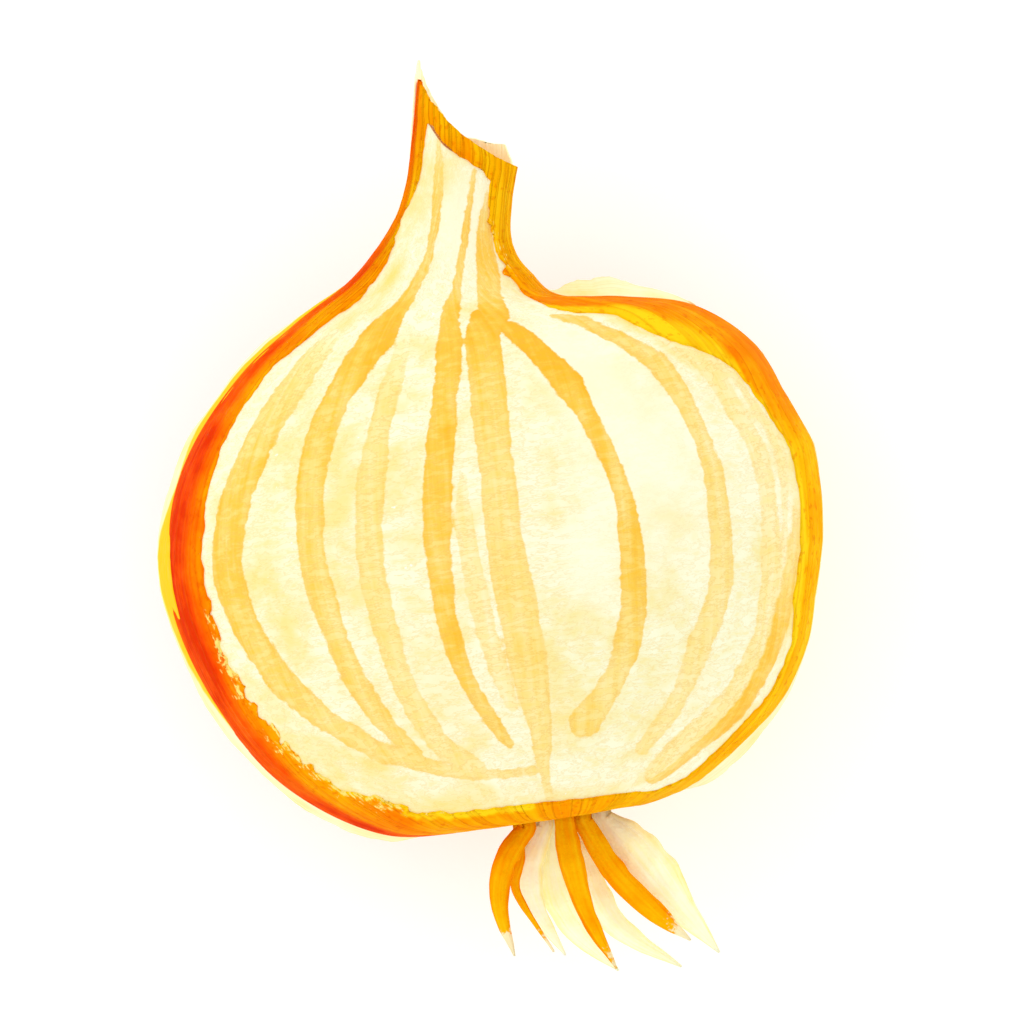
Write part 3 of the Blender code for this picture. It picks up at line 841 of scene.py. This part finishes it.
def make_bulb():
    """The bulb under its skin: the outside moved in, with raised veins and long soft ridges, and
    a puckered cap over its cut neck. The columns are closer together on top."""
    turn = once_round(BULB_COLUMNS) - math.pi
    around = turn - BULB_CROWDING * np.sin(turn)
    end = BULB_END + BULB_END_RISE * ease(-0.3, -0.9, np.sin(around))
    at = np.linspace(0, 1, BULB_ROWS)[:, None] * end
    around = np.broadcast_to(around, at.shape)
    front = np.cos(around) > -0.05
    seen = at[front], np.sin(around)[front]
    vein, strength, stain = np.full(at.shape, NO_VEIN), np.zeros(at.shape), np.zeros(at.shape)
    vein[front], strength[front] = vein_values(*seen)
    stain[front] = stain_values(*seen)
    grow = growth(at, around)
    ridges = RIDGE_RELIEF * (wobble(grow * (1, 1, 0.12), 3.0 * MM, 11) + wobble(grow, 14 * MM, 12))
    raised = VEIN_RELIEF * ease(-0.5, 0.9, vein) * strength
    points = surface(at, around, -SKIN_THICKNESS - BULB_CLEARANCE + ridges + raised)
    last = points[-1]
    middle = last.mean(axis=0)
    bend = np.linspace(0, 1, CAP_ROWS + 1)[1:, None, None] * CAP_BEND
    pucker = 0.5 * MM * wobble(last[None], 1.1 * MM, 13)
    forward = CAP_FORWARD * (CAP_LENGTH + pucker[..., None])
    cap = middle + (last - middle) * np.cos(bend) + forward * np.sin(bend)
    dried_neck = ease(end - 0.5, end - 0.1, at) * ease(0.1, -0.3, np.cos(around))
    values = {
        "growth": over_cap(grow), "vein": over_cap(vein), "strength": over_cap(strength),
        "stain": over_cap(stain), "dried": over_cap(np.maximum(ease(2.3, 1.7, at), dried_neck), 0.9),
    }
    points = np.concatenate([points, cap])
    faces = tube_faces(BULB_ROWS + CAP_ROWS, BULB_COLUMNS)
    add_piece("bulb_inner_skin", points, faces, [inner_skin_look()], ["bulb"], values)


OPEN_RIGHT_END = 15.75
OPEN_LEFT_END = 16.25


def window_outline():
    """The open front seen from above: the silhouette moved in by the margins, up the right side
    and down the left, across below the rim, and straight across the base."""
    at = np.linspace(MARGINS[0][0], MARGINS[-1][0], 260)
    places, left_width, right_width = np.array(MARGINS)[:, :3].T
    sides = []
    for sign, widths, stop in ((1, right_width, OPEN_RIGHT_END), (-1, left_width, OPEN_LEFT_END)):
        edge = plan(at, np.full_like(at, sign))
        along = unit(np.gradient(edge, axis=0))
        inwards = sign * np.column_stack([-along[:, 1], along[:, 0]])
        inner = edge + inwards * np.interp(at, places, widths)[:, None] * MM
        sides.append(inner[at < stop])
    rim = spread(RIM, 40)
    return np.vstack([sides[0], plan(rim[:, 0], rim[:, 1])[::-1], sides[1][::-1]])


BACK_DISTANCE = 8 * MM


def window_distance(at, around):
    """How far outside the open front each place is, in metres seen from above, and more the
    further it is round the back; below 0 inside it."""
    outline = window_outline()
    places = plan(at, np.sin(around))
    distance, = nearest(places, np.vstack([outline, outline[:1]]))
    inside = inside_of(places, outline) & (np.cos(around) > 0)
    round_back = BACK_DISTANCE * np.clip(-np.cos(around), 0, None)
    return np.where(inside, -distance, distance + round_back)


def raggedness(at, side):
    """How uneven the torn edge is: more at the lower left and up the right of the neck."""
    lower_left = ease(0, -0.6, side) * ease(7.4, 6.4, at) * ease(2.8, 3.8, at)
    neck_right = ease(0.3, 0.5, side) * ease(12.0, 13.0, at) * ease(15.0, 14.0, at)
    return 0.15 + 0.40 * lower_left + 0.30 * neck_right


def tint_values(at, around, edge):
    """How red the dry skin is: between the left's and the right's tints by how far it is across,
    redder towards the left flank in front, and yellow in the margin along the torn edge."""
    left, right = (np.interp(at, *np.array(tints).T) for tints in (LEFT_TINTS, RIGHT_TINTS))
    side = np.sin(around)
    tint = left + (right - left) * ease(-0.9, 0.9, side)
    tint = tint + 0.30 * (ease(-0.90, -0.95, side) - 0.45) * (side < 0) * (np.cos(around) > -0.2)
    places, yellow_left, yellow_right = (np.array(MARGINS)[:, k] for k in (0, 3, 4))
    yellow = np.where(side < 0, np.interp(at, places, yellow_left), np.interp(at, places, yellow_right))
    return tint - 0.50 * ease(0, 0.3, yellow) * ease(1.35, 0.60, edge / MM / np.maximum(yellow, 0.05))


SKIN_ROWS = 262
SKIN_COLUMNS = 222
SKIN_CROWDING = 0.24  # how much closer together the columns are on the flanks
SKIN_FOOT = 1.25
SKIN_TIP = NECK_END + 0.03
SKIN_TIP_DIP = 0.09  # how much shorter the tip is in front and at the back
SECTION_REACH = 4 * MM  # about the length of a section at either end
PRESSED_IN = 0.26 * MM
CRINKLE = 0.10 * MM


def frayed_ends(at, around):
    """How far each place is inside the skin's frayed ends, at the base and at the neck."""
    ring = np.column_stack([np.sin(around), np.cos(around)])
    base = (at - SKIN_FOOT) * SECTION_REACH + 0.9 * MM * wobble(ring, 0.12, 23)
    tip = SKIN_TIP - SKIN_TIP_DIP * np.cos(around) ** 2
    return np.minimum(base, (tip - at) * SECTION_REACH + 0.15 * MM * wobble(ring, 0.25, 24))


def make_skin():
    """The dry skin: the outside with crinkles, cut along the torn edge of the open front and
    frayed at the base and the neck, its torn edge pressed in a little. The cut carries the sine
    and cosine of the angle, since the angle itself jumps underneath. The columns are closer
    together on the flanks."""
    turn = once_round(SKIN_COLUMNS) - math.pi
    around = turn + SKIN_CROWDING * np.sin(2 * turn)
    at = np.linspace(1.0, NECK_END + 0.06, SKIN_ROWS)
    at, around = (x.ravel() for x in np.meshgrid(at, around, indexing="ij"))
    flat = plan(at, np.sin(around))
    rough = raggedness(at, np.sin(around))
    edge = window_distance(at, around)
    edge += rough * MM * (wobble(flat, 1.3 * MM, 21) + 0.6 * wobble(flat, 0.6 * MM, 22))
    keep = np.minimum(edge, frayed_ends(at, around))
    faces = grid_faces(SKIN_ROWS, SKIN_COLUMNS, closed=True)
    faces, (at, side, up, edge) = cut_along(faces, keep, at, np.sin(around), np.cos(around), edge)
    around = np.arctan2(side, up)
    grow = growth(at, around)
    crinkle = CRINKLE * wobble(grow * (1, 1, 0.15), 2.2 * MM, 25) * ease(1.6, 4.0, at)
    crinkle += CRINKLE * wobble(grow, 9 * MM, 26)
    pressed = PRESSED_IN * ease(1.5 * MM, 0.1 * MM, edge)
    underneath = ease(-0.80, -0.97, np.cos(around))
    points = surface(at, around, (crinkle - pressed) * (1 - underneath))
    frayed = np.clip((raggedness(at, np.sin(around)) - 0.2) / 0.35, 0, 1)
    worn = frayed * ease(1.6 * MM, 0.2 * MM, edge) * (np.cos(around) > 0)
    values = {"growth": grow, "tint": tint_values(at, around, edge), "worn": worn}
    looks = [dry_skin_look("dry_skin_look", fade=0.0), dry_skin_look("skin_inside_look", fade=0.45)]
    skin = add_piece("dry_skin", points, faces, looks, ["outer_skin"], values)
    add_wall(skin, SKIN_THICKNESS)


SCRAP_ROWS = 150
SCRAP_COLUMNS = 26
SCRAP_THICKNESS = 0.12 * MM
SCRAP_SUNK = 0.06 * MM  # how deep its held edge sits in the dry skin


def make_scraps():
    """Loose scraps of thin skin: ribbons along the onion, held along one edge and flaring outwards
    to a ragged free edge."""
    # the scraps give off a little painted light, which lifts the shade on them
    look = papery_look("papery_look", painted_glow=0.05)
    share = np.linspace(0, 1, SCRAP_COLUMNS)
    for number, (name, ribbon) in enumerate(SCRAPS.items()):
        at, held, free, stand, yellow = np.split(spread(ribbon, SCRAP_ROWS), 5, axis=1)
        at = at + 0 * share
        length = np.stack([at, 0 * at], axis=-1)
        sign = np.sign(held[0, 0])
        fine = wobble(length, 0.22, 41 + number) + 0.35 * wobble(length, 0.07, 44 + number)
        ragged = fine * (0.5 * (1 - share) ** 3 + 1.3 * share**3)
        ragged += 2.5 * wobble(length, 0.5, 47 + number) * share**2
        around = np.radians(held + (free - held) * share + sign * ragged)
        grow = growth(at, around)
        ripple = 0.10 * MM * wobble(grow * (1, 1, 0.5), 2.5 * MM, 50 + number)
        out = stand * MM * (1 + 0.12 * fine) * share**1.15 + ripple * share - SCRAP_SUNK
        tint = 0.30 + 0.75 * ease(yellow + 0.07, yellow - 0.07, share)
        faces = grid_faces(SCRAP_ROWS, SCRAP_COLUMNS)
        if sign < 0:
            faces = faces[:, ::-1]
        points, values = surface(at, around, out), {"growth": grow, "tint": tint}
        piece = add_piece(name, points, faces.tolist(), [look], [], values)
        add_wall(piece, SCRAP_THICKNESS)


FLAKE_ROWS = 60
FLAKE_COLUMNS = 24
FLAKE_THICKNESS = 0.25 * MM
FLAKE_RISE = 0.12 * MM  # how far it stands off the dry skin at its foot
FLAKE_CURL = 0.4 * MM  # and how much further at its point


def make_neck_flakes():
    """Blades on the back of the neck, narrowing from the foot to a point that stands past the
    skin, with wavy edges."""
    # the flakes give off more painted light, which lifts the shade that falls on them behind the neck's
    # end
    look = papery_look("neck_flake_look", painted_glow=0.25)
    share = np.linspace(0, 1, FLAKE_ROWS)[:, None]
    waves = 1 + 0.10 * wobble(np.hstack([share * 9, 0 * share]), 1.0, 60)[:, None]
    leaf = 0.45 + 0.55 * ease(0, 0.45, share)
    faces = grid_faces(FLAKE_ROWS, FLAKE_COLUMNS).tolist()
    for name, (one, other, point, reach) in NECK_FLAKES.items():
        last = whole_surface(np.array([NECK_END - 1.0, NECK_END]), np.radians([point, point]))
        end = NECK_END + reach * MM / np.linalg.norm(last[1] - last[0])
        rim = FLAKE_FOOT / (FLAKE_FOOT + end - NECK_END)
        narrowing = 1 - 0.96 * np.clip((share - rim + 0.05) / (1.05 - rim), 0, 1) ** 1.2
        foot = np.linspace(one, other, FLAKE_COLUMNS)
        around = np.radians(point + (foot - point) * narrowing * leaf * waves)
        at = NECK_END - FLAKE_FOOT + (end - NECK_END + FLAKE_FOOT) * share + 0 * around
        grow = growth(at, around)
        ripple = 0.08 * MM * wobble(grow * (1, 1, 0.3), 1.5 * MM, 61)
        points = surface(at, around, FLAKE_RISE + ripple + FLAKE_CURL * share**2)
        values = {"growth": grow, "tint": np.full(at.shape, 0.26)}
        piece = add_piece(name + "_dry", points, faces, [look], [name], values)
        add_wall(piece, FLAKE_THICKNESS)


def tube(path, radius, turn, wrinkle):
    """A ring of points round each place of a path, square to it, at its radius times 1 plus the
    wrinkle, a little flatter than it is wide."""
    forward = unit(np.gradient(path, axis=0))
    aside = unit(np.cross(forward, (0, 0, 1)))
    above = np.cross(aside, forward)
    sine, cosine = np.sin(turn)[:, None], np.cos(turn)[:, None]
    spokes = aside[:, None] * sine + ROOT_FLATNESS * above[:, None] * cosine
    return path[:, None] + spokes * (radius[:, None] * (1 + wrinkle))[..., None]


ROOT_ROWS = 80
ROOT_COLUMNS = 28


def root_path(start, passes, drop):
    """The middle line of a root: straight out of the plate, then smoothly through the places that
    it passes, dropping faster towards its tip. Gives its points and their shares of the way."""
    foot = RECESS_DEPTH - 2 * GAP - PLATE_THICKNESS
    across, height = PLATE_OFFSET + start[0] * PLATE_RADIUS, start[1] * PLATE_RADIUS
    stops = [(across, foot - ROOT_LEAD)]
    stops += [(PLATE_OFFSET + aside * MM, -down * MM) for aside, down in passes]
    at = np.linspace(0, len(stops) - 1, ROOT_ROWS)
    share = np.append(0, at / at[-1])
    flat = np.vstack([(across, foot), through(stops, at)])
    return np.column_stack([flat, height - drop * MM * share**1.5]), share[:, None]


def root_furrows(share, turn, number):
    """Furrows down a root: two waves round it, which twist along it, and uneven lumps."""
    waves = 0.07 * np.sin(5 * turn + 3 * share + number) + 0.05 * np.sin(9 * turn - 4 * share)
    place = np.stack(np.broadcast_arrays(share * 12, np.sin(turn), np.cos(turn)), axis=-1)
    return waves + 0.10 * wobble(place, 1.0, 70 + number)


def make_roots():
    """Eight tapering roots: each leaves the plate straight, bends and drops along its length,
    with furrows down it, and ends in a fine tip."""
    dark = root_look(
        "dark_root_look", (0.0, 255, 216, 40), (0.4, 254, 190, 6), (0.75, 253, 158, 0),
        (1.0, 246, 124, 0), fade=0.80, painted_glow=0.0,
    )
    # the pale roots give off a little painted light, which lifts the shade on them
    pale = root_look(
        "pale_root_look", (0.0, 255, 255, 236), (0.5, 254, 254, 214),
        (0.85, 254, 245, 172), (1.0, 253, 230, 124), fade=1.5, painted_glow=0.08,
    )
    turn = once_round(ROOT_COLUMNS)
    for number, (start, passes, radii, drop, worn) in enumerate(ROOTS, start=1):
        path, share = root_path(start, passes, drop)
        tapering = np.array([*radii, ROOT_TIP_RADIUS])[:, None]
        radius = through(tapering, len(radii) * share[:, 0])[:, 0] * MM
        points = tube(path, radius, turn, root_furrows(share, turn, number))
        size = len(path), len(turn)
        ring = np.column_stack([np.sin(turn), np.cos(turn)]) * radii[2] * MM + 0.01 * number
        run = np.cumsum(np.append(0, np.linalg.norm(np.diff(path, axis=0), axis=1)))
        along = np.broadcast_to(run[:, None, None], (*size, 1))
        values = {
            "growth": np.concatenate([np.broadcast_to(ring, (*size, 2)), along], axis=-1),
            # painted shade down the left and right sides of each root
            "flank": np.broadcast_to(ease(0.55, 1.0, np.abs(np.sin(turn))), size),
            "length": np.broadcast_to(worn * share, size),
        }
        look, slot = (dark, "dark_root") if number in DARK_ROOTS else (pale, "pale_root")
        faces = tube_faces(*size)
        add_piece(f"root_{number}_fibrous", points, faces, [look], [f"root_{number}"], values)


PLATE_COLUMNS = 110
PLATE_RIM = 0.5 * MM


def plate_profile():
    """The root plate's profile, from the middle of the face that the roots leave, round its rim
    to the middle of the other: reach from its axis, and height."""
    thick = PLATE_THICKNESS / 2
    run = np.linspace(0.004, 1, 56) * (PLATE_RADIUS - PLATE_RIM)
    bend = np.linspace(0.3, 2.84, 10)
    reach = np.concatenate([run, PLATE_RADIUS - PLATE_RIM + PLATE_RIM * np.sin(bend), run[::-1]])
    height = np.concatenate([0 * run - thick, -thick * np.cos(bend), 0 * run + thick])
    return reach[:, None], height[:, None]


def make_root_plate():
    """A corky disc: a rounded profile turned about its axis, with rings and crumbly lumps on the
    side that the roots leave."""
    reach, height = plate_profile()
    turn = once_round(PLATE_COLUMNS)
    across, y, up = np.broadcast_arrays(reach * np.sin(turn), height, reach * np.cos(turn))
    place = np.stack([across, y, up], axis=-1)
    lumps = 0.22 * MM * wobble(place, 0.9 * MM, 80) + 0.16 * MM * np.sin(reach / (0.32 * MM))
    lumps += 0.18 * MM * wobble(place, 2.5 * MM, 81)
    place[..., 1] += np.minimum(-lumps, 0.2 * MM) * ease(0.2 * MM, -0.6 * MM, y)
    place += (PLATE_OFFSET, RECESS_DEPTH - GAP - PLATE_THICKNESS / 2, 0)
    faces = [face[::-1] for face in tube_faces(len(reach), PLATE_COLUMNS)]
    add_piece("root_plate_cork", place, faces, [cork_look()], ["root_plate"], {})


# ---- scene


def make_floor():
    """A wide pale floor with a little light of its own."""
    made, tree = new_look("floor_look")
    feed(tree, tree.nodes["Principled BSDF"], {
        "Base Color": (0.86, 0.86, 0.85, 1), "Roughness": 0.9, "Specular IOR Level": 0.1,
        "Emission Color": (1, 1, 1, 1), "Emission Strength": 0.3,
    })
    corners = [(x * FLOOR_HALF, y * FLOOR_HALF, 0) for x, y in ((-1, -1), (1, -1), (1, 1), (-1, 1))]
    mesh = bpy.data.meshes.new("floor")
    mesh.from_pydata(corners, [], [(0, 1, 2, 3)])
    mesh.materials.append(made)
    add_object("floor", mesh)


def make_light():
    """Even light from the sky, and a soft lamp at the upper left that points at the onion."""
    world = bpy.data.worlds.new("studio")
    bpy.context.scene.world = world
    world.use_nodes = True
    tree = world.node_tree
    feed(tree, tree.nodes["Background"], {"Color": (1, 1, 1, 1), "Strength": SKY_STRENGTH})
    lamp = bpy.data.lights.new("softbox", "AREA")
    lamp.shape = "SQUARE"
    lamp.size = LAMP_SIZE
    lamp.energy = LAMP_POWER
    aim = (-LAMP_PLACE).to_track_quat("-Z", "Y").to_matrix().to_4x4()
    add_object("softbox", lamp).matrix_world = Matrix.Translation(LAMP_PLACE) @ aim


def make_camera():
    """A camera straight above, so far off that it sees the onion with next to no perspective."""
    distance = CAMERA_FIELD * CAMERA_LENS / FILM_WIDTH
    camera = bpy.data.cameras.new("camera")
    camera.lens = CAMERA_LENS
    camera.sensor_width = FILM_WIDTH
    camera.clip_end = 20.0
    holder = add_object("camera", camera)
    holder.location = (*CAMERA_AIM, HOME[2] + distance)
    holder.rotation_euler = (0, 0, -CAMERA_LEAN)
    bpy.context.scene.camera = holder
    bpy.context.scene.view_settings.view_transform = "Standard"


make_bulb()
make_skin()
make_scraps()
make_neck_flakes()
make_roots()
make_root_plate()
make_floor()
make_light()
make_camera()
